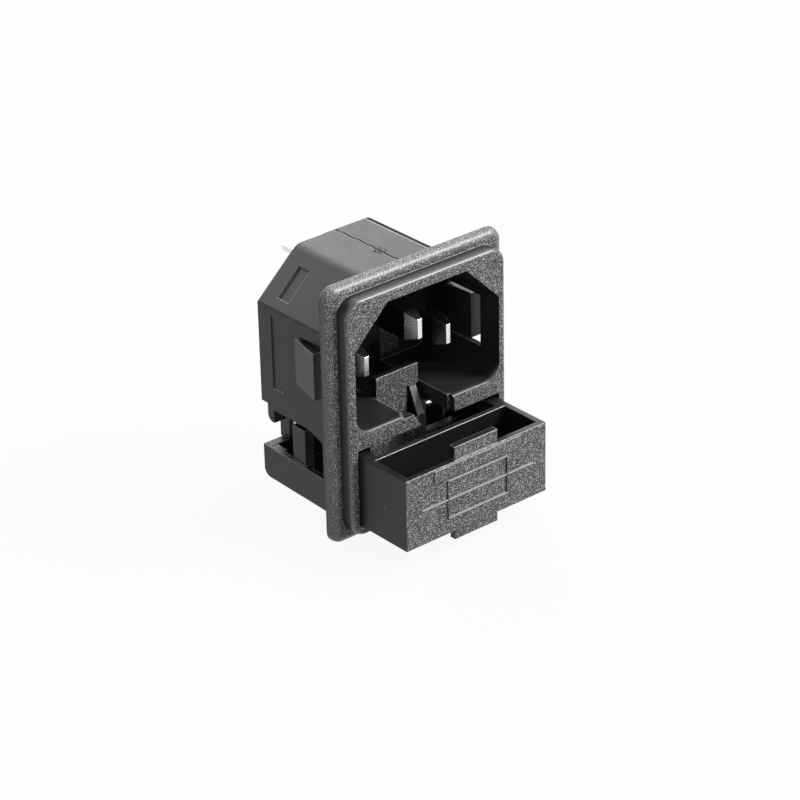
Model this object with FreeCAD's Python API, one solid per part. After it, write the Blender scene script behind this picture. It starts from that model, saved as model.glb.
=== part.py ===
"""C14 panel inlet with a fuse drawer, snapped into a panel cut-out.

Millimetres. +Z up, the inlet faces -Y. The origin is the centre of the panel cut-out, on the
plane where the back of the flange rests on the panel.
"""

import FreeCAD
import Part
import math
import os

V = FreeCAD.Vector

# ---- inlet opening and blades (standard C14 sizes) ----------------------------------------
inlet_width = 24.6
inlet_height = 17.4
inlet_depth = 14.6
inlet_chamfer_x = 5.6
inlet_chamfer_z = 5.5
inlet_corner_radius = 2.4
inlet_shoulder_radius = 0.6
inlet_roof_radius = 0.3
lip_radius = 0.8
lip_sweep = 76
blade_height = 4.0
blade_thickness = 2.0
blade_pitch = 14.0
blade_offset = 2.0
blade_taper = 2.0
blade_tip_thickness = 0.7
blade_tip_height = 2.8
live_tip_depth = 4.15
earth_tip_depth = 1.65

# ---- housing ------------------------------------------------------------------------------
side_wall = 0.75
top_wall = 1.6
floor_thickness = 2.3
back_wall = 1.5
compartment_height = 11.05
body_chamfer_x = 6.9
body_chamfer_z = 6.2
body_top_radius = 1.7
body_side_radius = 0.5
flange_thickness = 1.5
flange_margin = 1.55
flange_corner_radius = 1.9
flange_edge_radius = 1.3
bezel_proud = 2.1
bezel_margin = 0.4
bezel_bottom_margin = 1.65
bezel_corner_radius = 2.4
bezel_edge_radius = 0.55
rear_step = 0.6
side_opening_height = 6.4
rail_wall = 0.8
rail_draft = 0.4
rail_corner_radius = 1.2
rail_corner_length = 3.4
rail_corner_wall = 1.3
bottom_plate = 0.95
bottom_plate_setback = 0.45
cheek_depth = 2.7
cheek_slope_run = 2.8
cheek_slope_drop = 1.0
back_rail_wall = 1.3
guide_rib_y = 6.9
guide_rib_length = 2.6
guide_rib_reach = 1.0
guide_rib_drop = 1.0

# ---- snap tongues, one on each side wall --------------------------------------------------
tongue_height = 6.65
tongue_top = 1.5
tongue_tip_y = 2.4
tongue_root_y = 7.8
tongue_splay = 1.25
tongue_tip_thickness = 1.65
window_front_y = 0.15
window_rear_y = 6.6
window_gap_top = 0.6
window_gap_bottom = 0.2

# ---- shallow recesses in the housing's outer faces ----------------------------------------
label_recess_depth = 0.3
side_recess_depth = 0.15
label_recess_length = 2.3
label_recess_span = 5.0
label_recess_drop = 0.5
side_recess_length = 2.1
side_recess_height = 10.6
side_recess_drop = 1.2
recess_rear_margin = 2.7

# ---- fuse, 5 x 20 mm ----------------------------------------------------------------------
fuse_length = 20.0
fuse_cap_diameter = 5.2
fuse_cap_length = 5.0
fuse_cap_wall = 0.2
fuse_cap_edge = 0.18
fuse_tube_wall = 0.55
fuse_wire_diameter = 0.3

# ---- drawer -------------------------------------------------------------------------------
drawer_wall = 1.0
drawer_mid_wall = 0.9
drawer_top_gap = 0.7
tray_depth = 6.1
bay_depth = 7.85
bay_wall = 0.8
bay_end_gap = 0.2
drawer_out = 8.1
bay_floor = 0.8
shell_overrun = 2.2
drawer_edge_radius = 0.15
finger_tab_width = 7.4
finger_tab_rise = 1.9
finger_tab_drop = 1.45
finger_tab_thickness = 1.0
finger_tab_setback = 0.2
finger_tab_root = 0.5
interlock_width = 7.2
interlock_rise = 2.8
latch_inset = 0.45
latch_width = 1.1
latch_length = 4.0
latch_lean = 1.7
latch_thickness = 0.8
latch_slot = 0.45
latch_slot_top = 0.15
latch_slot_drop = 1.2
latch_root_rise = 0.3
latch_bend_drop = 0.2
emblem_rise = 0.18
emblem_line = 0.22
emblem_width = 10.2
emblem_height = 5.45
emblem_span = 19.2
plaque_width = 14.8
plaque_height = 1.8
plaque_drop = 0.25
plaque_rise = 0.14

# ---- release notch in the lower lip -------------------------------------------------------
notch_width = 8.7
catch_reach = 2.9
catch_top_reach = 1.65
catch_thickness = 1.0
catch_drop = 0.35
catch_root = 0.5

# ---- metal strip, tabs and leaf springs ---------------------------------------------------
strip_thickness = 0.8
bend_radius = 0.3
earth_tab_width = 6.3
earth_tab_length = 8.0
earth_tab_hole = 1.8
earth_tab_z = 6.4
live_tab_width = 4.8
live_tab_length = 6.3
live_tab_hole = 1.4
live_tab_x = 5.0
tab_hole_from_end = 3.0
tab_tip_chamfer = 0.9
stake_length = 0.3
stake_shoulder = 0.3
strap_margin = 0.4
strap_inner_margin = 0.8
strap_outer_margin = 0.3
leaf_from_fuse_end = 2.0
leaf_width = 3.0
leaf_thickness = 0.3
leaf_end_margin = 0.2
leaf_knee_drop = 0.9
leaf_knee_radius = 0.9
leaf_slope_run = 3.4
leaf_slope_drop = 0.7
leaf_slope_radius = 2.0
leaf_contact_radius = 1.2
leaf_tip_run = 1.7
leaf_tip_rise = 0.9
rivet_diameter = 1.6
rivet_head_diameter = 2.6
rivet_head_height = 0.5
rivet_from_end = 1.6

# ---- terminal carrier ---------------------------------------------------------------------
carrier_thickness = 2.0
apron_thickness = 1.35
apron_margin = 0.4
apron_lift = 0.6
leg_width = 2.0
leg_drop = 2.75
leg_radius = 1.0

# ---- clearances ---------------------------------------------------------------------------
fit_gap = 0.05
plug_gap = 0.1
slide_gap = 0.15
guide_gap = 0.25
leg_gap = 0.2
leaf_notch_gap = 0.6
closed_gap = 0.05
contact_gap = 0.12
slot_gap = 0.3

# how far a cutter runs past the face it leaves, where that is free and where it is not
overrun = 1.0
sliver = 0.01

# ---- places that follow from the sizes ----------------------------------------------------
face_y = -(flange_thickness + bezel_proud)
back_wall_y = face_y + inlet_depth
strap_y = back_wall_y + back_wall + fit_gap
strap_back_y = strap_y + strip_thickness
carrier_y = strap_back_y + fit_gap
body_rear_y = carrier_y + carrier_thickness
apron_y = body_rear_y - apron_thickness
floor_rear_y = apron_y - plug_gap

rail_inner_x = max(inlet_width / 2 + side_wall - rail_wall,
                   fuse_length / 2 + bay_end_gap + bay_wall + guide_rib_reach + slide_gap)
body_half = rail_inner_x + rail_wall
bezel_half = body_half + bezel_margin
flange_half = bezel_half + flange_margin

body_height = top_wall + inlet_height + floor_thickness + compartment_height
body_top = body_height / 2
body_bottom = -body_height / 2
inlet_z = body_top - top_wall - inlet_height / 2
floor_top = inlet_z - inlet_height / 2
floor_bottom = floor_top - floor_thickness
rail_top = floor_bottom - side_opening_height
bezel_bottom = body_bottom - bezel_bottom_margin

drawer_half = rail_inner_x - slide_gap
drawer_top = floor_bottom - drawer_top_gap
drawer_bottom = body_bottom + fit_gap
pocket_bottom = drawer_bottom - slide_gap
tray_floor = drawer_bottom + drawer_wall
plate_top = body_bottom + bottom_plate
rib_root_z = plate_top - bottom_plate / 3
bay_bottom = plate_top + slide_gap
bay_floor_top = bay_bottom + bay_floor
closed_front_y = face_y - closed_gap - finger_tab_thickness - finger_tab_setback
drawer_y = closed_front_y - drawer_out
tray_back_y = drawer_y + drawer_wall + tray_depth
bay_y = tray_back_y + drawer_mid_wall
shell_y = bay_y + shell_overrun
bay_back_y = bay_y + bay_depth
drawer_rear_y = bay_back_y + drawer_wall
bay_half = fuse_length / 2 + bay_end_gap + bay_wall
bay_top = floor_bottom - slide_gap
interlock_top = floor_top + interlock_rise

leaf_x = fuse_length / 2 - leaf_from_fuse_end
blade_outer = blade_pitch / 2 + blade_thickness / 2
rivet_outer = leaf_x + rivet_head_diameter / 2
strap_inner = min(blade_outer - blade_thickness,
                  rivet_outer - rivet_head_diameter) - strap_inner_margin
strap_outer = max(blade_outer, rivet_outer) + strap_outer_margin
foot_outer = max(blade_outer, rivet_outer) + strap_margin
apron_half = foot_outer + apron_margin
skirt_half = apron_half + leg_width + leg_gap

fuse_radius = fuse_cap_diameter / 2
fuse_y = bay_y + slide_gap + fuse_radius
fuse_z = bay_floor_top + fit_gap + fuse_radius
fuse_closed_y = fuse_y + drawer_out
leaf_low_z = fuse_z + fuse_radius + contact_gap + leaf_thickness
leaf_notch_inner = strap_inner - slot_gap
leaf_notch_outer = bay_half - bay_wall
apron_bottom = rail_top + apron_lift
strap_bottom = apron_bottom + strap_margin
live_tab_z = strap_bottom + live_tab_width / 2
rivet_z = strap_bottom + rivet_from_end
leaf_notch_bottom = min(leaf_low_z, rivet_z - rivet_head_diameter / 2) - leaf_notch_gap

line_x = blade_pitch / 2
neutral_x = -blade_pitch / 2
live_blade_z = inlet_z - blade_offset
earth_blade_z = inlet_z + blade_offset


# ---- helpers ------------------------------------------------------------------------------
def box(x0, x1, y0, y1, z0, z1):
    return Part.makeBox(x1 - x0, y1 - y0, z1 - z0, V(x0, y0, z0))


def rounded_face(corners, place):
    """Face bounded by straight edges and corner arcs. A corner is (a, b, radius), and place
    turns (a, b) into a point."""
    count = len(corners)
    entries = []
    for i, (a, b, radius) in enumerate(corners):
        here = V(a, b, 0)
        before = V(*corners[i - 1][:2], 0) - here
        after = V(*corners[(i + 1) % count][:2], 0) - here
        before.normalize()
        after.normalize()
        if radius <= 0:
            entries.append((here, here, here))
            continue
        half = before.getAngle(after) / 2
        reach = radius / math.tan(half)
        bisector = before + after
        bisector.normalize()
        centre = here + bisector * (radius / math.sin(half))
        entries.append((here + before * reach, centre - bisector * radius, here + after * reach))
    edges = []
    for i, (start, middle, end) in enumerate(entries):
        if (end - start).Length > 1e-6:
            points = [place(p.x, p.y) for p in (start, middle, end)]
            edges.append(Part.Arc(*points).toShape())
        following = entries[(i + 1) % count][0]
        if (following - end).Length > 1e-6:
            edges.append(Part.makeLine(place(end.x, end.y), place(following.x, following.y)))
    return Part.Face(Part.Wire(edges))


def slab(corners, y0, y1):
    """Outline in the XZ plane, extruded from y0 to y1."""
    face = rounded_face(corners, lambda x, z: V(x, y0, z))
    return face.extrude(V(0, y1 - y0, 0))


def side_slab(corners, x0, x1):
    """Outline in the YZ plane, extruded from x0 to x1."""
    face = rounded_face(corners, lambda y, z: V(x0, y, z))
    return face.extrude(V(x1 - x0, 0, 0))


def rounded_rectangle(half, z0, z1, radius):
    return [(-half, z0, radius), (half, z0, radius), (half, z1, radius), (-half, z1, radius)]


def mirrored(shape):
    return shape.mirror(V(0, 0, 0), V(1, 0, 0))


def both_sides(shape):
    return [shape, mirrored(shape)]


def round_edges(shape, radius, wanted):
    """Fillet every edge that wanted() picks."""
    return shape.makeFillet(radius, [edge for edge in shape.Edges if wanted(edge)])


def lies_in_y(edge, y):
    return all(abs(vertex.Y - y) < 1e-4 for vertex in edge.Vertexes)


def lies_in_z(edge, z):
    return all(abs(vertex.Z - z) < 1e-4 for vertex in edge.Vertexes)


def strip(path, thickness, x0, x1):
    """Bent sheet strip: path is one face of the strip, as (y, z) points with bend radii."""
    points = [V(0, y, z) for y, z, _ in path]
    edges = []
    start = points[0]
    for i in range(1, len(points) - 1):
        before = points[i - 1] - points[i]
        after = points[i + 1] - points[i]
        before.normalize()
        after.normalize()
        radius = path[i][2]
        half = before.getAngle(after) / 2
        reach = radius / math.tan(half)
        bisector = before + after
        bisector.normalize()
        centre = points[i] + bisector * (radius / math.sin(half))
        first = points[i] + before * reach
        last = points[i] + after * reach
        edges.append(Part.makeLine(start, first))
        edges.append(Part.Arc(first, centre - bisector * radius, last).toShape())
        start = last
    edges.append(Part.makeLine(start, points[-1]))
    face = Part.Wire(edges).makeOffset2D(thickness, 0, True, True)
    solid = face.extrude(V(x1 - x0, 0, 0))
    solid.translate(V(x0, 0, 0))
    return solid


# ---- housing ------------------------------------------------------------------------------
def inlet_corners(inset):
    """The C14 outline: top corners cut off, lower corners rounded."""
    half = inlet_width / 2 - inset
    top = inlet_z + inlet_height / 2 - inset
    bottom = floor_top + inset
    return [
        (-half, bottom, inlet_corner_radius),
        (half, bottom, inlet_corner_radius),
        (half, top - inlet_chamfer_z, inlet_shoulder_radius),
        (half - inlet_chamfer_x, top, inlet_roof_radius),
        (-half + inlet_chamfer_x, top, inlet_roof_radius),
        (-half, top - inlet_chamfer_z, inlet_shoulder_radius),
    ]


def lower_lip():
    """What the rounded lower lip takes away: the foot of the outline, moved down and forward
    along a quarter circle, so that the rounding fades out up the corners."""
    half = inlet_width / 2
    face = rounded_face([
        (-half, floor_top, inlet_corner_radius),
        (half, floor_top, inlet_corner_radius),
        (half, floor_top + 2 * inlet_corner_radius, 0),
        (-half, floor_top + 2 * inlet_corner_radius, 0),
    ], lambda x, z: V(x, face_y + lip_radius, z))
    centre = V(0, face_y + lip_radius, floor_top - lip_radius)

    def on_arc(degrees):
        angle = math.radians(degrees)
        return centre + V(0, -math.sin(angle), math.cos(angle)) * lip_radius

    path = Part.Wire(Part.Arc(on_arc(0), on_arc(lip_sweep / 2), on_arc(lip_sweep)).toShape())
    sweep = Part.BRepOffsetAPI.MakePipeShell(path)
    sweep.setTrihedronMode(V(0, 0, 0), V(0, 1, 0))
    sweep.add(face.OuterWire)
    sweep.build()
    sweep.makeSolid()
    return Part.Solid(sweep.shape())


def body_corners():
    return [
        (-body_half, floor_bottom, 0),
        (body_half, floor_bottom, 0),
        (body_half, body_top - body_chamfer_z, body_side_radius),
        (body_half - body_chamfer_x, body_top, body_top_radius),
        (-body_half + body_chamfer_x, body_top, body_top_radius),
        (-body_half, body_top - body_chamfer_z, body_side_radius),
    ]


def front_frame():
    """Flange and raised bezel, with rounded front edges."""
    flange = slab(rounded_rectangle(flange_half, bezel_bottom - flange_margin,
                                    body_top + flange_margin, flange_corner_radius),
                  -flange_thickness, 0)
    flange = round_edges(flange, flange_edge_radius, lambda e: lies_in_y(e, -flange_thickness))
    bezel = slab(rounded_rectangle(bezel_half, bezel_bottom, body_top, bezel_corner_radius),
                 face_y, -flange_thickness / 2)
    bezel = round_edges(bezel, bezel_edge_radius, lambda e: lies_in_y(e, face_y))
    return flange.fuse(bezel)


def rail():
    """Right side wall of the fuse compartment: a cheek behind the flange and a low rail that
    rises a little towards the rear."""
    slope_y = cheek_depth + cheek_slope_run
    root = floor_bottom + floor_thickness / 2
    corners = [
        (-flange_thickness / 2, body_bottom, 0),
        (0, body_bottom, 0),
        (body_rear_y, body_bottom + rail_draft, rail_corner_radius),
        (body_rear_y, rail_top + rail_draft, 0),
        (cheek_depth, rail_top, 0),
        (cheek_depth, floor_bottom - cheek_slope_drop, 0),
        (slope_y, floor_bottom, 0),
        (slope_y, root, 0),
        (-flange_thickness / 2, root, 0),
    ]
    return side_slab(corners, rail_inner_x, body_half)


def rear_rail():
    """Cross wall and bottom plate that join the two rails, with thicker corners."""
    plate_y = shell_y + drawer_out + bottom_plate_setback
    low_rear = body_bottom + rail_draft
    half = body_half - rail_wall / 2
    profile = [
        (plate_y, body_bottom + rail_draft * plate_y / body_rear_y, 0),
        (body_rear_y, low_rear, rail_corner_radius),
        (body_rear_y, rail_top + rail_draft, 0),
        (body_rear_y - back_rail_wall, rail_top + rail_draft, 0),
        (body_rear_y - back_rail_wall, plate_top, 0),
        (plate_y, plate_top, 0),
    ]
    walls = [side_slab(profile, -half, half)]
    corner_y = body_rear_y - rail_corner_length
    slope = rail_draft / (body_rear_y - cheek_depth)
    corner = side_slab([
        (corner_y, rib_root_z, 0),
        (body_rear_y - back_rail_wall / 2, rib_root_z, 0),
        (body_rear_y - back_rail_wall / 2, rail_top + rail_draft - slope * back_rail_wall / 2, 0),
        (corner_y, rail_top + rail_draft - slope * rail_corner_length, 0),
    ], body_half - rail_corner_wall, body_half - rail_wall / 2)
    return walls + both_sides(corner)


def guide_rib():
    """Upright rib inside the rail that guides the drawer's fuse bay."""
    return box(bay_half + guide_gap, rail_inner_x + rail_wall / 2,
               guide_rib_y, guide_rib_y + guide_rib_length,
               rib_root_z, floor_bottom - guide_rib_drop)


def tongue_window():
    top = inlet_z + tongue_top + window_gap_top
    bottom = inlet_z + tongue_top - tongue_height - window_gap_bottom
    return box(inlet_width / 2 - overrun, body_half + overrun, window_front_y, window_rear_y,
               bottom, top)


def snap_tongue():
    """Wedge hinged at its rear end that stands away from the wall towards the flange."""
    inner = inlet_width / 2
    tip = body_half + tongue_splay
    outline = [
        V(inner, tongue_root_y, 0),
        V(body_half, tongue_root_y, 0),
        V(tip, tongue_tip_y, 0),
        V(tip - tongue_tip_thickness, tongue_tip_y, 0),
        V(inner, window_rear_y, 0),
    ]
    face = Part.Face(Part.makePolygon(outline + outline[:1]))
    face.translate(V(0, 0, inlet_z + tongue_top - tongue_height))
    return face.extrude(V(0, 0, tongue_height))


def label_recess():
    """Blank recess in the slanted shoulder of the body, on the left."""
    run = V(body_chamfer_x, 0, body_chamfer_z)
    length = run.Length
    foot = V(-body_half, 0, body_top - body_chamfer_z)
    cutter = Part.makeBox(label_recess_span, label_recess_length, 2 * label_recess_depth)
    cutter.translate(V(-label_recess_span / 2, 0, -label_recess_depth))
    cutter.rotate(V(0, 0, 0), V(0, 1, 0), -math.degrees(math.atan2(body_chamfer_z,
                                                                  body_chamfer_x)))
    middle = foot + run * ((length / 2 - label_recess_drop) / length)
    rear = body_rear_y - recess_rear_margin
    cutter.translate(V(middle.x, rear - label_recess_length, middle.z))
    return cutter


def side_recess():
    """Blank upright recess in the left side wall."""
    rear = body_rear_y - recess_rear_margin
    top = body_top - body_chamfer_z - side_recess_drop
    return box(-body_half - overrun, -body_half + side_recess_depth,
               rear - side_recess_length, rear, top - side_recess_height, top)


def blade_slot(x, z):
    return box(x - blade_thickness / 2 - fit_gap, x + blade_thickness / 2 + fit_gap,
               back_wall_y - overrun, back_wall_y + back_wall + overrun,
               z - blade_height / 2 - fit_gap, z + blade_height / 2 + fit_gap)


def notch_catch():
    """Sloping catch that closes part of the notch and stops the drawer coming out."""
    left = -notch_width / 2
    top = floor_top - catch_drop
    corners = [
        (left - catch_root, floor_bottom, 0),
        (left + catch_reach, floor_bottom, 0),
        (left + catch_top_reach, top, 0),
        (left - catch_root, top, 0),
    ]
    return slab(corners, face_y, face_y + catch_thickness)


def socket_housing():
    body = front_frame()
    body = body.fuse(slab(body_corners(), -flange_thickness / 2, body_rear_y))
    body = body.fuse(both_sides(rail()))
    body = body.fuse(rear_rail()).removeSplitter()

    # inlet cavity with its rounded lower lip
    body = body.cut(slab(inlet_corners(0), face_y - overrun, back_wall_y))
    body = body.cut(lower_lip())

    # drawer pocket through the bezel and flange, and the space behind it
    body = body.cut(box(-rail_inner_x, rail_inner_x, face_y - overrun, cheek_depth,
                        pocket_bottom, floor_bottom))

    # the skirt that takes the carrier
    body = body.cut(slab(inlet_corners(0), back_wall_y + back_wall, body_rear_y + overrun))
    body = body.cut(box(-skirt_half, skirt_half, floor_rear_y, body_rear_y + overrun,
                        floor_bottom - overrun, floor_top + inlet_corner_radius + 2 * plug_gap))

    # step under the rear end of each side wall
    step = box(inlet_width / 2 - overrun, body_half + overrun, floor_rear_y,
               body_rear_y + overrun, floor_bottom - overrun, floor_bottom + rear_step)
    body = body.cut(both_sides(step))

    # notch, interlock slot and the opening behind it
    slot_half = interlock_width / 2 + slot_gap
    body = body.cut(box(-notch_width / 2, notch_width / 2,
                        face_y - overrun, face_y + catch_thickness,
                        floor_bottom - sliver, floor_top + overrun))
    body = body.cut(box(-slot_half, slot_half, face_y + catch_thickness / 2,
                        back_wall_y + back_wall, floor_bottom - sliver, floor_top + sliver))
    body = body.cut(box(-slot_half, slot_half,
                        back_wall_y - sliver, back_wall_y + back_wall + sliver,
                        floor_bottom - sliver, interlock_top + slide_gap))

    # blades and the live strap
    for x, z in ((line_x, live_blade_z), (neutral_x, live_blade_z), (0, earth_blade_z)):
        body = body.cut(blade_slot(x, z))
    body = body.cut(box(strap_inner - plug_gap, strap_outer + plug_gap,
                        back_wall_y + back_wall, carrier_y,
                        floor_bottom - sliver, floor_top + overrun))

    # tongues
    for window in both_sides(tongue_window()):
        body = body.cut(window)
    body = body.fuse(both_sides(snap_tongue()))
    body = body.fuse(both_sides(guide_rib()))
    body = body.fuse(notch_catch())
    body = body.cut(label_recess())
    body = body.cut(side_recess())
    return body.removeSplitter()


# ---- terminal carrier ---------------------------------------------------------------------
def strip_pocket(x0, x1, z0, z1):
    """Room in front of the carrier for an upright strip."""
    return box(x0 - plug_gap, x1 + plug_gap, carrier_y - strip_thickness - overrun, carrier_y,
               z0 - plug_gap, z1 + plug_gap)


def tab_slot(x, z, width, height, relief_x=0, relief_z=0):
    """Through slot for a push-on tab, wider at its mouth on the inner side of the bend."""
    x0 = x - width / 2 - fit_gap
    x1 = x + width / 2 + fit_gap
    z0 = z - height / 2 - fit_gap
    z1 = z + height / 2 + fit_gap
    slot = box(x0, x1, strap_y, body_rear_y + overrun, z0, z1)
    mouth = box(x0 - relief_x, x1, strap_y, carrier_y + bend_radius, z0 - relief_z, z1)
    return slot.fuse(mouth)


def stake_pocket(x, z):
    return box(x - blade_thickness / 2 - plug_gap, x + blade_thickness / 2 + plug_gap,
               carrier_y - overrun, carrier_y + stake_length + plug_gap,
               z - blade_height / 2 - plug_gap, z + blade_height / 2 + plug_gap)


def carrier_leg():
    """Foot beside the apron, rounded at its lower rear edge."""
    low = floor_bottom - leg_drop
    inner = apron_half - fit_gap
    return side_slab([
        (apron_y, low, 0),
        (body_rear_y, low, leg_radius),
        (body_rear_y, floor_top + inlet_corner_radius + plug_gap, 0),
        (apron_y, floor_top + inlet_corner_radius + plug_gap, 0),
    ], inner, apron_half + leg_width)


def terminal_carrier():
    high = floor_top + inlet_corner_radius + plug_gap
    body = slab(inlet_corners(plug_gap), strap_y, body_rear_y)
    body = body.fuse(box(-apron_half, apron_half, apron_y, body_rear_y, apron_bottom, high))
    body = body.fuse(box(-apron_half, apron_half, carrier_y, body_rear_y, apron_bottom,
                         floor_bottom - plug_gap))
    body = body.fuse(both_sides(carrier_leg())).removeSplitter()

    reach = blade_height / 2 + strap_margin
    live_half = live_tab_width / 2
    body = body.cut(strip_pocket(-earth_tab_width / 2, earth_tab_width / 2,
                                 earth_blade_z - reach,
                                 inlet_z + earth_tab_z + strip_thickness / 2))
    body = body.cut(strip_pocket(-foot_outer, -live_tab_x, live_blade_z - live_half,
                                 live_blade_z + live_half))
    body = body.cut(strip_pocket(strap_inner, strap_outer,
                                 floor_top - overrun, live_blade_z + reach))
    body = body.cut(tab_slot(0, inlet_z + earth_tab_z, earth_tab_width, strip_thickness,
                             relief_z=bend_radius))
    for z in (live_blade_z, live_tab_z):
        tab_middle = -live_tab_x - strip_thickness / 2
        body = body.cut(tab_slot(tab_middle, z, strip_thickness, live_tab_width,
                                 relief_x=bend_radius))
    for x, z in ((line_x, live_blade_z), (neutral_x, live_blade_z), (0, earth_blade_z)):
        body = body.cut(stake_pocket(x, z))
    for side in (-1, 1):
        hole = Part.makeCylinder(rivet_head_diameter / 2 + plug_gap, rivet_head_height + plug_gap,
                                 V(side * leaf_x, carrier_y, rivet_z), V(0, 1, 0))
        body = body.cut(hole)
    return body.removeSplitter()


# ---- blades and strips --------------------------------------------------------------------
def blade(x, z, tip_depth):
    """Flat blade with a long taper on both sides of its tip and a staked rear end."""
    tip_y = face_y + tip_depth
    taper_y = tip_y + blade_taper
    shank = box(x - blade_thickness / 2, x + blade_thickness / 2, taper_y, strap_back_y,
                z - blade_height / 2, z + blade_height / 2)

    def section(y, thickness, height):
        corners = [V(x + a * thickness / 2, y, z + b * height / 2)
                   for a, b in ((-1, -1), (1, -1), (1, 1), (-1, 1), (-1, -1))]
        return Part.makePolygon(corners)

    point = Part.makeLoft([section(taper_y, blade_thickness, blade_height),
                           section(tip_y, blade_tip_thickness, blade_tip_height)], True, True)
    stake = box(x - blade_thickness / 2, x + blade_thickness / 2, strap_back_y,
                strap_back_y + stake_length, z - blade_height / 2 + stake_shoulder,
                z + blade_height / 2 - stake_shoulder)
    return shank.fuse([point, stake]).removeSplitter()


def blade_hole(x, z):
    return box(x - blade_thickness / 2, x + blade_thickness / 2,
               strap_y - overrun, strap_back_y + overrun,
               z - blade_height / 2, z + blade_height / 2)


def earth_terminal():
    """Upright foot behind the back wall, bent to a level tab that comes out of the rear."""
    top = inlet_z + earth_tab_z + strip_thickness / 2
    foot = earth_blade_z - blade_height / 2 - strap_margin
    end = body_rear_y + earth_tab_length
    half = earth_tab_width / 2
    path = [
        (strap_y, foot, 0),
        (strap_y, top, bend_radius + strip_thickness),
        (end, top, 0),
    ]
    piece = strip(path, strip_thickness, -half, half)
    for side in (-1, 1):
        tip = [
            V(side * half, end, top),
            V(side * (half - tab_tip_chamfer), end, top),
            V(side * half, end - tab_tip_chamfer, top),
        ]
        wedge = Part.Face(Part.makePolygon(tip + tip[:1]))
        piece = piece.cut(wedge.extrude(V(0, 0, -strip_thickness)))
    hole = Part.makeCylinder(earth_tab_hole / 2, strip_thickness,
                             V(0, end - tab_hole_from_end, top - strip_thickness))
    return piece.cut(hole).cut(blade_hole(0, earth_blade_z))


def side_tab(z):
    """Flat foot behind the back wall, bent to an upright tab that comes out of the rear."""
    end = body_rear_y + live_tab_length
    inner = -live_tab_x
    half = live_tab_width / 2
    face = rounded_face([
        (-foot_outer, strap_y, 0),
        (inner, strap_y, bend_radius + strip_thickness),
        (inner, end, 0),
        (inner - strip_thickness, end, 0),
        (inner - strip_thickness, strap_back_y, bend_radius),
        (-foot_outer, strap_back_y, 0),
    ], lambda x, y: V(x, y, z - half))
    piece = face.extrude(V(0, 0, live_tab_width))
    for side in (-1, 1):
        tip = [
            V(inner, end, z + side * half),
            V(inner, end, z + side * (half - tab_tip_chamfer)),
            V(inner, end - tab_tip_chamfer, z + side * half),
        ]
        wedge = Part.Face(Part.makePolygon(tip + tip[:1]))
        piece = piece.cut(wedge.extrude(V(-strip_thickness, 0, 0)))
    hole = Part.makeCylinder(live_tab_hole / 2, strip_thickness,
                             V(inner, end - tab_hole_from_end, z), V(-1, 0, 0))
    return piece.cut(hole)


def neutral_terminal():
    return side_tab(live_blade_z).cut(blade_hole(neutral_x, live_blade_z))


def line_terminal():
    return side_tab(live_tab_z).cut(rivet_hole(-leaf_x))


def rivet_hole(x):
    return Part.makeCylinder(rivet_diameter / 2, strip_thickness + 2 * overrun,
                             V(x, strap_y - overrun, rivet_z), V(0, 1, 0))


def line_strap():
    top = live_blade_z + blade_height / 2 + strap_margin
    piece = box(strap_inner, strap_outer, strap_y, strap_back_y, strap_bottom, top)
    return piece.cut(blade_hole(line_x, live_blade_z)).cut(rivet_hole(leaf_x))


def fuse_spring(x):
    """Leaf riveted to the strip, reaching forward over the fuse and curled up at its tip."""
    knee_z = bay_top - leaf_thickness - leaf_knee_drop
    path = [
        (strap_y, strap_bottom + leaf_end_margin, 0),
        (strap_y, knee_z, leaf_knee_radius),
        (fuse_closed_y + leaf_slope_run, knee_z - leaf_slope_drop, leaf_slope_radius),
        (fuse_closed_y, leaf_low_z, leaf_contact_radius),
        (fuse_closed_y - leaf_tip_run, leaf_low_z + leaf_tip_rise, 0),
    ]
    leaf = strip(path, -leaf_thickness, x - leaf_width / 2, x + leaf_width / 2)
    return leaf.cut(rivet_hole(x))


def spring_rivet(x):
    """Flat-headed rivet through the leaf and the strip."""
    head_y = strap_y - leaf_thickness - rivet_head_height
    head = Part.makeCylinder(rivet_head_diameter / 2, rivet_head_height,
                             V(x, head_y, rivet_z), V(0, 1, 0))
    shank = Part.makeCylinder(rivet_diameter / 2, leaf_thickness + strip_thickness,
                              V(x, strap_y - leaf_thickness, rivet_z), V(0, 1, 0))
    tail = Part.makeCylinder(rivet_head_diameter / 2, rivet_head_height,
                             V(x, strap_back_y, rivet_z), V(0, 1, 0))
    return head.fuse([shank, tail]).removeSplitter()


# ---- drawer and fuse ----------------------------------------------------------------------
def emblem_ribs():
    """Fuse symbol on the drawer's front: a rectangle with a line right through it."""
    middle = (drawer_top + drawer_bottom) / 2
    half_line = emblem_line / 2
    half_width = emblem_width / 2
    half_height = emblem_height / 2
    y0 = drawer_y - emblem_rise
    y1 = drawer_y + drawer_wall / 2
    ribs = [box(-emblem_span / 2, emblem_span / 2, y0, y1, middle - half_line,
                middle + half_line)]
    for side in (-1, 1):
        z = middle + side * half_height
        x = side * half_width
        ribs.append(box(-half_width - half_line, half_width + half_line, y0, y1,
                        z - half_line, z + half_line))
        ribs.append(box(x - half_line, x + half_line, y0, y1, middle - half_height,
                        middle + half_height))
    return ribs


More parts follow.
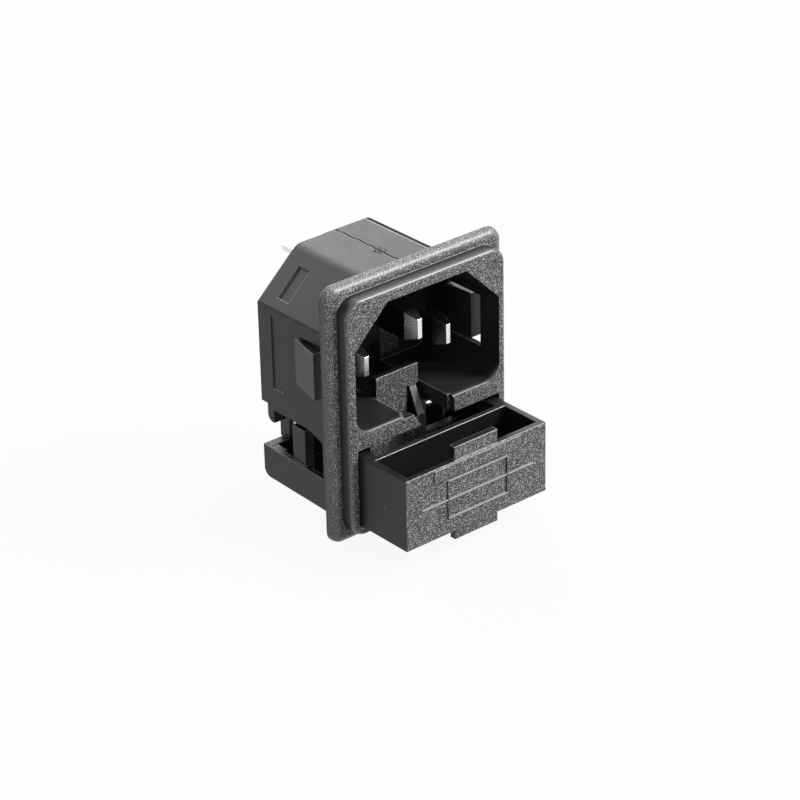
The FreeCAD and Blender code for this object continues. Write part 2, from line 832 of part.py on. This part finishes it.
def fuse_drawer():
    # tray
    body = box(-drawer_half, drawer_half, drawer_y, bay_y, drawer_bottom, drawer_top)
    body = body.cut(box(-drawer_half + drawer_wall, drawer_half - drawer_wall,
                        drawer_y + drawer_wall, tray_back_y, tray_floor, drawer_top + overrun))

    # bay for the fuse in use
    body = body.fuse(box(-drawer_half, drawer_half, tray_back_y, shell_y, drawer_bottom,
                         drawer_top))
    body = body.fuse(box(-bay_half, bay_half, tray_back_y, drawer_rear_y, bay_bottom,
                         drawer_top))
    body = body.cut(box(-bay_half + bay_wall, bay_half - bay_wall, bay_y, bay_back_y,
                        bay_floor_top, drawer_top + overrun))

    def rim(edge):
        return lies_in_y(edge, drawer_y) or lies_in_z(edge, drawer_top)

    body = round_edges(body.removeSplitter(), drawer_edge_radius, rim)

    # notches for the leaves
    for notch in both_sides(box(leaf_notch_inner, leaf_notch_outer, bay_back_y - sliver,
                                drawer_rear_y + overrun, leaf_notch_bottom, bay_top + overrun)):
        body = body.cut(notch)

    # interlock plate with its latch finger
    half = interlock_width / 2
    plate = box(-half, half, bay_back_y, drawer_rear_y, bay_bottom, interlock_top)
    plate = round_edges(plate, drawer_edge_radius, lambda e: lies_in_z(e, interlock_top))
    body = body.fuse(plate)
    latch_x1 = half - latch_inset
    latch_x0 = latch_x1 - latch_width
    latch_foot = floor_top - latch_length
    body = body.cut(box(latch_x0 - latch_slot, half + sliver, bay_back_y - sliver,
                        drawer_rear_y + overrun, latch_foot - latch_slot_drop,
                        floor_top - latch_slot_top))
    latch_back_y = bay_back_y + latch_thickness
    lean = [
        (bay_back_y, floor_top + latch_root_rise, 0),
        (latch_back_y, floor_top + latch_root_rise, 0),
        (latch_back_y, floor_top - latch_bend_drop, 0),
        (latch_back_y - latch_lean, latch_foot, 0),
        (bay_back_y - latch_lean, latch_foot, 0),
        (bay_back_y, floor_top - latch_bend_drop, 0),
    ]
    body = body.fuse(side_slab(lean, latch_x0, latch_x1))

    # finger tabs above and below the front
    tab_y = drawer_y + finger_tab_setback
    for z0, z1 in ((drawer_top - finger_tab_root, drawer_top + finger_tab_rise),
                   (drawer_bottom - finger_tab_drop, drawer_bottom + finger_tab_root)):
        tab = box(-finger_tab_width / 2, finger_tab_width / 2, tab_y,
                  tab_y + finger_tab_thickness, z0, z1)
        body = body.fuse(round_edges(tab, drawer_edge_radius, lambda e: lies_in_y(e, tab_y)))

    for rib in emblem_ribs():
        body = body.fuse(rib)
    plaque_top = drawer_top - plaque_drop
    body = body.fuse(box(-plaque_width / 2, plaque_width / 2, drawer_y - plaque_rise,
                         drawer_y + drawer_wall / 2, plaque_top - plaque_height, plaque_top))
    return body.removeSplitter()


def along_x(radius, x0, x1):
    return Part.makeCylinder(radius, x1 - x0, V(x0, fuse_y, fuse_z), V(1, 0, 0))


def fuse_tube():
    outer = fuse_radius - fuse_cap_wall
    inner = outer - fuse_tube_wall
    half = fuse_length / 2 - fuse_cap_wall
    return along_x(outer, -half, half).cut(along_x(inner, -half - overrun, half + overrun))


def fuse_cap(side):
    end = side * fuse_length / 2
    mouth = side * (fuse_length / 2 - fuse_cap_length)
    floor = side * (fuse_length / 2 - fuse_cap_wall)
    cap = along_x(fuse_radius, min(end, mouth), max(end, mouth))
    cap = round_edges(cap, fuse_cap_edge, lambda e: abs(e.CenterOfMass.x - end) < 0.01
                      and len(e.Vertexes) == 1)
    bore = along_x(fuse_radius - fuse_cap_wall, min(floor, mouth - side), max(floor, mouth - side))
    return cap.cut(bore)


def fuse_wire():
    half = fuse_length / 2 - fuse_cap_wall
    return along_x(fuse_wire_diameter / 2, -half, half)


pieces = {
    "socket_housing": socket_housing(),
    "terminal_carrier": terminal_carrier(),
    "line_pin": blade(line_x, live_blade_z, live_tip_depth),
    "neutral_pin": blade(neutral_x, live_blade_z, live_tip_depth),
    "earth_pin": blade(0, earth_blade_z, earth_tip_depth),
    "line_strap": line_strap(),
    "line_terminal": line_terminal(),
    "neutral_terminal": neutral_terminal(),
    "earth_terminal": earth_terminal(),
    "fuse_spring_right": fuse_spring(leaf_x),
    "fuse_spring_left": fuse_spring(-leaf_x),
    "spring_rivet_right": spring_rivet(leaf_x),
    "spring_rivet_left": spring_rivet(-leaf_x),
    "fuse_drawer": fuse_drawer(),
    "fuse_tube": fuse_tube(),
    "fuse_cap_left": fuse_cap(-1),
    "fuse_cap_right": fuse_cap(1),
    "fuse_wire": fuse_wire(),
}

os.makedirs("parts", exist_ok=True)
for name, shape in pieces.items():
    solids = len(shape.Solids)
    size = shape.BoundBox
    print(f"{name:20s} solids {solids} valid {shape.isValid()} volume {shape.Volume:9.2f}  "
          f"x {size.XMin:7.2f} {size.XMax:7.2f}  y {size.YMin:7.2f} {size.YMax:7.2f}  "
          f"z {size.ZMin:7.2f} {size.ZMax:7.2f}")
    shape.exportStep(f"parts/{name}.step")
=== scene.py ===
"""Looks of a panel power inlet: black moulded plastic, plated blades, a glass fuse, studio light.

Metres, in the frame of the CAD model: +Z up, the inlet faces -Y. Places and feature sizes inside
the materials are in millimetres, in the same frame.
"""

import math
from functools import cached_property

import bpy
from mathutils import Matrix, Vector


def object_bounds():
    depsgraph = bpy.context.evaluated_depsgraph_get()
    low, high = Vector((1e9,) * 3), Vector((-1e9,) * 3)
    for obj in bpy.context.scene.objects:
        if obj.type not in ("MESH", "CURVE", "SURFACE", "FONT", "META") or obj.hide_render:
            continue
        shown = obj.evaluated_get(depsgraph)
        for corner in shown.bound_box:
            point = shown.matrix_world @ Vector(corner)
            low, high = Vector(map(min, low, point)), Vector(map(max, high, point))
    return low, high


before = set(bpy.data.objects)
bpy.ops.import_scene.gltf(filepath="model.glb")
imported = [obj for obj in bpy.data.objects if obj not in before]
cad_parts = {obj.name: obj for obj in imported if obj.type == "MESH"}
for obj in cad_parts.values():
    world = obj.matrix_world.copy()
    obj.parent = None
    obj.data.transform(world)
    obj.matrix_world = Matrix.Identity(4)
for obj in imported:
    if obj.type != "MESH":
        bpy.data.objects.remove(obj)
cad_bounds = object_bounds()

MM = 0.001
BEVEL_SAMPLES = 6
WHITE = (1.0, 1.0, 1.0, 1.0)


def grey(level):
    return (level, level, level * 1.01, 1.0)


# ---- shader expressions -------------------------------------------------------------------
class Signal:
    """A value or vector inside a material. Arithmetic on signals adds the nodes."""

    def __init__(self, shader, socket):
        self.shader = shader
        self.socket = socket

    def combine(self, operation, first, second):
        kind = "ShaderNodeVectorMath" if self.socket.type == "VECTOR" else "ShaderNodeMath"
        return self.shader.add(kind, {"operation": operation}, [first, second])

    def __add__(self, other):
        return self.combine("ADD", self, other)

    def __radd__(self, other):
        return self.combine("ADD", other, self)

    def __sub__(self, other):
        return self.combine("SUBTRACT", self, other)

    def __rsub__(self, other):
        return self.combine("SUBTRACT", other, self)

    def __mul__(self, other):
        return self.combine("MULTIPLY", self, other)

    def __rmul__(self, other):
        return self.combine("MULTIPLY", other, self)

    def above(self, edge, softness):
        """0 below edge and 1 above it, with a soft step."""
        settings = {"interpolation_type": "SMOOTHSTEP", "clamp": True}
        inputs = {"Value": self, "From Min": edge - softness, "From Max": edge + softness}
        return self.shader.add("ShaderNodeMapRange", settings, inputs)

    def below(self, edge, softness):
        return 1 - self.above(edge, softness)

    def within(self, low, high, softness):
        """1 between low and high."""
        return self.above(low, softness) * self.below(high, softness)

    def absolute(self):
        return self.shader.add("ShaderNodeMath", {"operation": "ABSOLUTE"}, [self])

    def near(self, middle, reach, softness):
        """1 within reach of middle."""
        return (self - middle).absolute().below(reach, softness)

    def parts(self):
        """The X, Y and Z of a vector."""
        node = self.shader.node("ShaderNodeSeparateXYZ", {}, [self])
        return [Signal(self.shader, output) for output in node.outputs]


def any_of(first, *others):
    """1 where at least one of the masks is 1."""
    none = 1 - first
    for mask in others:
        none = none * (1 - mask)
    return 1 - none


class Shader:
    """Builds the nodes of one material, or of the world."""

    def __init__(self, owner):
        self.owner = owner
        owner.use_nodes = True
        self.tree = owner.node_tree
        self.tree.nodes.clear()

    def node(self, kind, settings, inputs):
        """Any node: its settings are set first, then the values or links of its sockets."""
        node = self.tree.nodes.new(kind)
        for name, value in settings.items():
            setattr(node, name, value)
        pairs = inputs.items() if isinstance(inputs, dict) else enumerate(inputs)
        for key, value in pairs:
            if isinstance(value, Signal):
                self.tree.links.new(value.socket, node.inputs[key])
            else:
                node.inputs[key].default_value = value
        return node

    def add(self, kind, settings, inputs, output=0):
        return Signal(self, self.node(kind, settings, inputs).outputs[output])

    @cached_property
    def position(self):
        """The place on the part, in millimetres."""
        per_mm = 1 / MM
        return self.add("ShaderNodeTexCoord", {}, {}, "Object") * (per_mm, per_mm, per_mm)

    def mix(self, amount, first, second):
        """Colour that goes from first to second."""
        settings = {"data_type": "RGBA"}
        return self.add("ShaderNodeMix", settings, {0: amount, 6: first, 7: second}, 2)

    def noise(self, scale, detail, where=None):
        """Cloudy noise, with scale in features per millimetre."""
        inputs = {"Vector": where or self.position, "Scale": scale, "Detail": detail}
        return self.add("ShaderNodeTexNoise", {}, inputs)

    def grains(self, scale):
        """Small cells: a random value for each, and the distance from its middle."""
        inputs = {"Vector": self.position, "Scale": scale, "Randomness": 1.0}
        cells = self.node("ShaderNodeTexVoronoi", {}, inputs)
        value = Signal(self, cells.outputs["Color"]).parts()[0]
        return value, Signal(self, cells.outputs["Distance"])

    def surface(self):
        """The way the surface faces."""
        return self.add("ShaderNodeNewGeometry", {}, {}, "Normal")

    def rounded(self, radius):
        """The way the surface faces once sharp edges are rounded off."""
        return self.add("ShaderNodeBevel", {"samples": BEVEL_SAMPLES}, {"Radius": radius * MM})

    def edges(self, radius):
        """1 on edges within radius that catch light from above, 0 on flats."""
        least_turn, least_rise = 0.06, 0.30
        rounded = self.rounded(radius)
        settings = {"operation": "DOT_PRODUCT"}
        match = self.add("ShaderNodeVectorMath", settings, [rounded, self.surface()], "Value")
        upward = rounded.parts()[2].above(least_rise, 0.20)
        return (1 - match).above(least_turn, 0.05) * upward

    def relief(self, height, depth, strength, radius):
        """Surface direction from a height map on top of rounded edges."""
        inputs = {"Height": height, "Distance": depth * MM, "Strength": strength,
                  "Normal": self.rounded(radius)}
        return self.add("ShaderNodeBump", {}, inputs)

    def seen(self):
        """1 or more where the camera, a reflection or glass looks, and 0 for matt light."""
        rays = self.node("ShaderNodeLightPath", {}, {})
        camera, through, glossy = (
            Signal(self, rays.outputs[name])
            for name in ("Is Camera Ray", "Is Transmission Ray", "Is Glossy Ray"))
        return camera + through + glossy

    def finish(self, **inputs):
        """Closes the material with a Principled shader."""
        named = {name.replace("_", " "): value for name, value in inputs.items()}
        shader = self.add("ShaderNodeBsdfPrincipled", {}, named)
        self.node("ShaderNodeOutputMaterial", {}, {"Surface": shader})
        return self.owner


def material_shader(name):
    return Shader(bpy.data.materials.new(name))


# ---- plastics -----------------------------------------------------------------------------
# Features per millimetre. The stretch is along X, Y and Z.
PIT_SCALE = 11.0
CELL_SCALE = 9.0
CLOUD_SCALE = 0.35
FLOW_STRETCH = (2.2, 0.12, 0.5)

PIT_DARK = grey(0.014)
PIT_PALE = grey(0.115)
# Painted highlight: tone of the bright grain specks that stand in for glints.
PAINTED_GLINT = grey(0.72)
# Painted highlight on edges that face up.
EDGE_HIGHLIGHT_TONE = grey(0.60)
# Dark marks, and a painted dark reflection.
DARK_MARK_AND_REFLECTION = grey(0.004)
# Pale marks, and painted highlights.
PALE_MARK_AND_HIGHLIGHT = grey(0.45)

PLASTIC_ROUGHNESS = 0.32
PLASTIC_IOR = 1.34

# Millimetres.
PLASTIC_ROUNDING = 0.14
PIT_DEPTH = 0.03


def moulded(name, grain_of, marks_of=None, smooth=(0.014, 0.026), rim=0.16, edge_highlight=0.7,
            sheen=0.34):
    """Black moulded plastic. grain_of gives 1 where the tool was spark-eroded, 0 where smooth.

    smooth is the darkest and palest tone without grain, rim and the argument after it are the
    width and strength of the painted highlight on upward edges, and sheen is the roughness of the
    gloss on roundings.
    """
    shader = material_shader(name)
    grain = grain_of(shader)
    _, facing_y, facing_z = shader.surface().parts()
    lit_side = any_of(facing_y.below(-0.55, 0.25), facing_z.above(0.35, 0.25))
    rounding = facing_y.within(-0.98, -0.12, 0.02)

    pits = shader.noise(PIT_SCALE, 1.0)
    value, middle = shader.grains(CELL_SCALE)
    # Painted highlight: bright specks in the grain stand in for glints off it, paler on faces
    # toward the lamps.
    glint_specks = value.above(0.74, 0.12) * middle.below(0.46, 0.20)
    clouds = shader.noise(CLOUD_SCALE, 4.0)
    flow = shader.noise(1.0, 3.0, shader.position * FLOW_STRETCH)
    edge = shader.edges(rim)
    calm = 1 - edge * 0.8

    darkest, palest = smooth
    smooth_tone = shader.mix(clouds * 0.5 + flow * 0.5, grey(darkest), grey(palest))
    grain_tone = shader.mix(pits.above(0.5, 0.09), PIT_DARK, PIT_PALE)
    grain_tone = shader.mix(glint_specks * (lit_side * 0.7 + 0.3), grain_tone, PAINTED_GLINT)
    tone = shader.mix(grain, smooth_tone, grain_tone)
    # Painted highlight: edges that face up are paled, for light caught on their rounding.
    tone = shader.mix(edge * edge_highlight, tone, EDGE_HIGHLIGHT_TONE)
    relief = (pits + value * 0.4) * grain * calm + flow * (1 - grain) * 0.10
    rough = grain * calm * 0.10 + PLASTIC_ROUGHNESS + clouds * 0.12

    if marks_of:
        dark, pale, sunk = marks_of(shader)
        if dark:
            rough = rough + dark * 0.6
            # Darkens the scars and weld line, and also paints a dark reflection where the marks
            # give one.
            tone = shader.mix(dark, tone, DARK_MARK_AND_REFLECTION)
        # Pales scratches and scars, and also paints highlights where the marks give them.
        tone = shader.mix(pale, tone, PALE_MARK_AND_HIGHLIGHT)
        relief = relief - sunk

    return shader.finish(Base_Color=tone, Roughness=rough, IOR=PLASTIC_IOR,
                         Normal=shader.relief(relief, PIT_DEPTH, 0.9, PLASTIC_ROUNDING),
                         Coat_Weight=rounding * (1 - value * grain * 0.8), Coat_Roughness=sheen)


def housing_grain(shader):
    """Grain on what faces forward, and less on the flange's rim. A paler grained patch on the
    inlet's back wall is a painted pool of light.
    """
    rim_side, rim_top, rim_bottom = 12.9, 16.05, -16.9
    rim_front, rim_back, front_depth = -1.52, 0.05, 2.0
    x, y, z = shader.position.parts()
    _, facing_y, facing_z = shader.surface().parts()
    flat = facing_y.below(-0.80, 0.12)
    turned = facing_y.below(-0.35, 0.20) * facing_z.below(0.30, 0.10)
    front = any_of(flat, turned) * y.below(front_depth, 0.1)
    above = z.above(rim_top, 0.05)
    outside = any_of(x.absolute().above(rim_side, 0.1), above, z.below(rim_bottom, 0.1))
    rim = outside * y.within(rim_front, rim_back, 0.03) * (above * 0.4 + 0.5)
    # Painted light: a paler grained patch on the back wall stands in for light falling there.
    painted_light_patch = x.within(3.9, 7.1, 0.1) * z.within(-2.1, 2.3, 0.1) * y.above(10.5, 0.2)
    return any_of(front, rim, painted_light_patch * 0.5)


def housing_marks(shader):
    """Weld line and gate scar on the roof, a painted dark reflection on its right rounded edge,
    and painted highlights beside that edge and beside the weld line.
    """
    seam_x, scar_x, scar_y = 0.35, 0.3, 6.3
    band_left, band_right, band_low, glint_x = 5.50, 6.80, 15.2, 5.38
    roof_z, roof_front = 16.0, 0.1
    x, y, z = shader.position.parts()
    body = y.above(roof_front, 0.05)
    roof = z.above(roof_z, 0.05) * body

    wander = shader.noise(0.6, 3.0, shader.position * (0.05, 1.0, 0.05)) - 0.5
    seam = x - seam_x - wander * 0.9
    gap = shader.noise(1.1, 2.0).above(0.36, 0.06)
    weld = roof * seam.absolute().below(0.12, 0.04) * gap
    # Painted highlight: a pale line beside the weld line.
    shine = seam.near(-0.26, 0.08, 0.06) * gap
    scratches = shader.noise(1.6, 4.0, shader.position * (3.0, 0.25, 1.0))
    scar = x.near(scar_x, 0.7, 0.3) * y.near(scar_y, 0.9, 0.4)
    crumbs = roof * scar * shader.noise(2.2, 2.0).above(0.52, 0.05)

    # Painted dark reflection: a dark band along the roof's right rounded edge.
    band = x.within(band_left, band_right, 0.05) * z.above(band_low, 0.1) * body
    # Painted highlight: a thin pale line just left of that band.
    glint = x.near(glint_x, 0.07, 0.05)
    dark = any_of(weld, crumbs, band)
    pale = roof * (scratches.above(0.60, 0.10) * 0.06 + shine * 0.15 + glint * 0.6)
    return dark, pale, dark * 1.5 + roof * scratches * 0.2


def drawer_grain(shader):
    """Grain on the drawer's front and on the interlock plate."""
    front_y, plate_y = -11.95, 2.6
    y = shader.position.parts()[1]
    facing_y = shader.surface().parts()[1]
    return facing_y.below(-0.35, 0.20) * any_of(y.below(front_y, 0.05), y.above(plate_y, 0.1))


def drawer_marks(shader):
    """Gate scar on the left side; a painted highlight on the symbol's level lines; the latch
    finger paler towards its lower end.
    """
    symbol_y, side_x, scar_y, scar_z = -13.11, -11.9, -8.6, -11.35
    ring_square = 0.05
    x, y, z = shader.position.parts()
    facing_y = shader.surface().parts()[1]
    finger = x.within(1.98, 3.2, 0.02) * y.within(1.0, 2.85, 0.05) * z.within(-6.8, -2.2, 0.1)
    paler_downward = z * -0.08 + shader.noise(1.5, 3.0) * 0.3 - 0.10
    finger_paling = facing_y.below(-0.3, 0.1) * finger * paler_downward
    # Painted highlight: the symbol's level lines are paled, the upright ones left out, for light
    # caught on their tops.
    upright = x.absolute().within(4.97, 5.23, 0.01)
    level = y.below(symbol_y, 0.01) * (1 - upright)

    across = y - scar_y
    up = z - scar_z
    ring = (across * across + up * up).near(ring_square, 0.03, 0.03)
    scar = ring * x.below(side_x, 0.05)
    return None, any_of(finger_paling, level * 0.8, scar * 0.10), scar * 0.5


def no_grain(shader):
    return 0.0


# ---- metals and glass ---------------------------------------------------------------------
# Bright and dull tone of each plating.
NICKEL = ((0.90, 0.89, 0.87, 1.0), (0.78, 0.77, 0.74, 1.0))
TIN = ((0.84, 0.82, 0.78, 1.0), (0.72, 0.70, 0.64, 1.0))
SILVER = ((0.93, 0.92, 0.90, 1.0), (0.84, 0.83, 0.80, 1.0))
WIRE = ((0.80, 0.78, 0.74, 1.0), (0.66, 0.64, 0.60, 1.0))
SIDE_DARK_REFLECTION = (0.16, 0.16, 0.155, 1.0)
METAL_EDGE_HIGHLIGHT = (0.95, 0.94, 0.92, 1.0)
GLASS = (0.94, 0.98, 0.97, 1.0)
GLASS_IOR = 1.47
DRAW_STRETCH = (2.5, 0.2, 2.5)

# Millimetres.
DRAW_DEPTH = 0.02
METAL_ROUNDING = 0.12


def plated(name, tones, roughness, side_darkening=0.0):
    """Plated strip with fine draw lines, dull in patches, with a painted dark reflection on its
    sides and a painted highlight on upward edges.
    """
    shader = material_shader(name)
    lines = shader.noise(1.5, 1.0, shader.position * DRAW_STRETCH)
    patches = shader.noise(0.7, 3.0)
    bright, dull = tones
    colour = shader.mix(patches, bright, dull)
    if side_darkening:
        # Painted dark reflection: faces that point along X are darkened.
        side = shader.surface().parts()[0].absolute().above(0.85, 0.08)
        colour = shader.mix(side * side_darkening, colour, SIDE_DARK_REFLECTION)
    # Painted highlight on edges that face up.
    colour = shader.mix(shader.edges(METAL_ROUNDING) * 0.6, colour, METAL_EDGE_HIGHLIGHT)
    rough = lines * 0.10 + patches * 0.08 + (roughness - 0.08)
    return shader.finish(Base_Color=colour, Metallic=1.0, Roughness=rough,
                         Normal=shader.relief(lines, DRAW_DEPTH, 0.3, METAL_ROUNDING))


def clear_glass(name):
    shader = material_shader(name)
    rough = shader.noise(0.5, 3.0) * 0.06 + 0.02
    return shader.finish(Base_Color=GLASS, Roughness=rough, IOR=GLASS_IOR,
                         Transmission_Weight=1.0)


# ---- studio -------------------------------------------------------------------------------
def link(thing):
    bpy.context.scene.collection.objects.link(thing)


def studio_world():
    """White where it is seen, and a dim even light on matt surfaces."""
    matt_strength, seen_strength = 0.20, 1.0
    world = bpy.data.worlds.new("studio")
    shader = Shader(world)
    dim, white = (shader.add("ShaderNodeBackground", {}, {"Color": WHITE, "Strength": strength})
                  for strength in (matt_strength, seen_strength))
    blend = shader.add("ShaderNodeMixShader", {}, [shader.seen(), dim, white])
    shader.node("ShaderNodeOutputWorld", {}, {"Surface": blend})
    bpy.context.scene.world = world


def studio_floor():
    """Pale floor just under the part. It is nearly white where it is seen."""
    gap, half = 0.2 * MM, 3.0
    low = cad_bounds[0][2] - gap
    mesh = bpy.data.meshes.new("floor")
    corners = [(-half, -half, low), (half, -half, low), (half, half, low), (-half, half, low)]
    mesh.from_pydata(corners, [], [(0, 1, 2, 3)])
    floor = bpy.data.objects.new("floor", mesh)
    link(floor)

    shader = material_shader("floor white")
    dull, pale = (0.44, 0.44, 0.44, 1.0), (0.48, 0.48, 0.48, 1.0)
    colour = shader.mix(shader.noise(0.01, 2.0), dull, pale)
    matt = shader.add("ShaderNodeBsdfDiffuse", {}, {"Color": colour})
    glow = shader.add("ShaderNodeEmission", {}, {"Color": WHITE, "Strength": 1.0})
    blend = shader.add("ShaderNodeMixShader", {}, [shader.seen() * 0.93, matt, glow])
    shader.node("ShaderNodeOutputMaterial", {}, {"Surface": blend})
    mesh.materials.append(shader.owner)


def softbox(name, place, width, height, power):
    """Rectangular lamp, in metres and watts, that looks at the part."""
    light = bpy.data.lights.new(name, "AREA")
    light.shape = "RECTANGLE"
    light.size = width
    light.size_y = height
    light.energy = power
    lamp = bpy.data.objects.new(name, light)
    lamp.location = place
    lamp.rotation_euler = (-Vector(place)).to_track_quat("-Z", "Y").to_euler()
    link(lamp)


def studio_camera():
    """Long lens, from the front left and a little above."""
    azimuth = math.radians(-39.8)
    elevation = math.radians(27.65)
    roll = math.radians(1.28)
    target = Vector((0.0, 0.0024, -0.0042))
    distance = 0.413
    look = Vector((-math.sin(azimuth) * math.cos(elevation),
                   math.cos(azimuth) * math.cos(elevation), -math.sin(elevation)))
    camera = bpy.data.cameras.new("camera")
    camera.lens = 140.5
    camera.sensor_width = 36.0
    view = bpy.data.objects.new("camera", camera)
    level = look.to_track_quat("-Z", "Y").to_matrix()
    turned = Matrix.Rotation(roll, 3, look) @ level
    view.matrix_world = Matrix.Translation(target - look * distance) @ turned.to_4x4()
    link(view)
    bpy.context.scene.camera = view


# ---- dressing the pieces ------------------------------------------------------------------
def dress(material, *nodes):
    for node in nodes:
        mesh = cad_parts[node].data
        mesh.materials.clear()
        mesh.materials.append(material)


dress(moulded("housing plastic", housing_grain, housing_marks), "socket_housing")
# Painted shade: the drawer's smooth tone is darker than the housing's, for the housing's shadow
# over it.
dress(moulded("drawer plastic", drawer_grain, drawer_marks, smooth=(0.009, 0.014), rim=0.11,
              edge_highlight=1.0, sheen=0.24), "fuse_drawer")
dress(moulded("carrier plastic", no_grain), "terminal_carrier")
dress(plated("nickel", NICKEL, 0.20, side_darkening=0.8), "line_pin", "neutral_pin", "earth_pin")
dress(plated("bright nickel", NICKEL, 0.16),
      "spring_rivet_left", "spring_rivet_right", "fuse_cap_left", "fuse_cap_right")
dress(plated("tinned strip", TIN, 0.30),
      "line_strap", "line_terminal", "neutral_terminal", "earth_terminal")
dress(plated("spring plating", SILVER, 0.14), "fuse_spring_left", "fuse_spring_right")
dress(plated("fuse wire", WIRE, 0.30), "fuse_wire")
dress(clear_glass("fuse glass"), "fuse_tube")

studio_world()
studio_floor()
softbox("back softbox", (0.10, 0.62, 0.46), 0.90, 0.45, 5.3)
softbox("side softbox", (0.46, -0.06, 0.60), 0.32, 0.90, 3.4)
softbox("key softbox", (0.37, -0.34, 0.45), 0.22, 0.22, 5.0)
softbox("fill softbox", (-0.48, -0.60, 0.40), 0.60, 0.60, 1.0)
studio_camera()

bpy.context.scene.view_settings.view_transform = "Standard"
